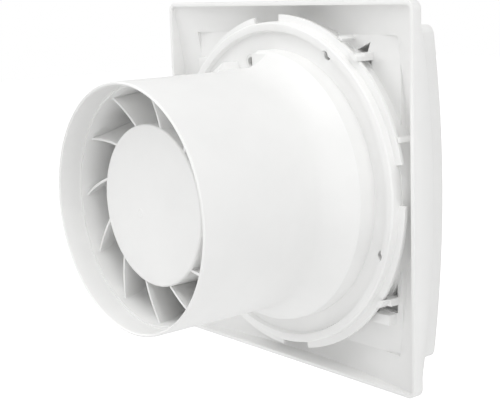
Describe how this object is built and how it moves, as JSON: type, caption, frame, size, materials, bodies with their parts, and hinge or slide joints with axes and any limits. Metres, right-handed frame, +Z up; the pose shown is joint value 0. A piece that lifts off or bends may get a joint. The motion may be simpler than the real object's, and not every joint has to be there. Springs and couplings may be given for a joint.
{
  "type": "bathroom extractor fan",
  "caption": "White square bathroom extractor fan with a bowed front panel, a round duct spigot, guide vanes around a sealed motor bowl and a spinning impeller.",
  "frame": {"origin": "on the fan axis, in the plane of the front frame's rear rim", "axes": "+Y along the fan axis into the wall and out through the duct spigot, +Z up, -Y towards the room"},
  "size_m": [0.182, 0.136, 0.1854],
  "materials": {
    "white_abs": "satin moulded ABS",
    "impeller_abs": "satin moulded ABS",
    "silicone": "soft silicone",
    "spring_steel": "bright spring steel",
    "steel": "ground steel",
    "rotor_steel": "turned, cast end rings",
    "nylon": "natural nylon",
    "lamination": "stacked laminations",
    "bobbin_nylon": "matt nylon",
    "enamelled_copper": "enamelled copper wire",
    "bracket_zinc": "die cast",
    "bush_bronze": "sintered bronze",
    "black_rubber": "soft rubber",
    "screw_zinc": "zinc plated",
    "fuse_body": "ceramic capsule",
    "lead_pvc": "white PVC insulation",
    "terminal_pa": "polyamide",
    "terminal_brass": "nickel free brass",
    "grommet_rubber": "light soft rubber"
  },
  "bodies": {
    "housing": {"base_frame": "white_abs", "fan_housing": "white_abs", "stator_insert": "white_abs", "stator_core": "lamination", "coil_bobbins": "bobbin_nylon", "coils": "enamelled_copper", "motor_front_bracket": "bracket_zinc", "motor_rear_bracket": "bracket_zinc", "bearing_front": "bush_bronze", "bearing_rear": "bush_bronze", "motor_mounts": "black_rubber", "motor_screws": "screw_zinc", "thermal_fuse": "fuse_body", "motor_leads": "lead_pvc", "terminal_block": "terminal_pa", "terminal_screws": "terminal_brass", "terminal_cover": "white_abs", "terminal_cover_screw": "screw_zinc", "cord_clamp": "nylon", "cord_clamp_screws": "screw_zinc", "cable_grommet": "grommet_rubber"},
    "impeller": {"impeller": "impeller_abs", "impeller_clip": "spring_steel", "motor_shaft": "steel", "rotor": "rotor_steel", "thrust_washers": "nylon"},
    "panel": {"front_panel": "white_abs", "stud_rings": "silicone"}
  },
  "joints": [
    {"name": "impeller_spin", "type": "hinge", "parent": "housing", "child": "impeller", "pos_m": [0, 0.04, 0], "axis": [0, 1, 0], "continuous": true},
    {"name": "panel_pull", "type": "slide", "parent": "housing", "child": "panel", "axis": [0, -1, 0], "range_m": [0, 0.009]}
  ]
}
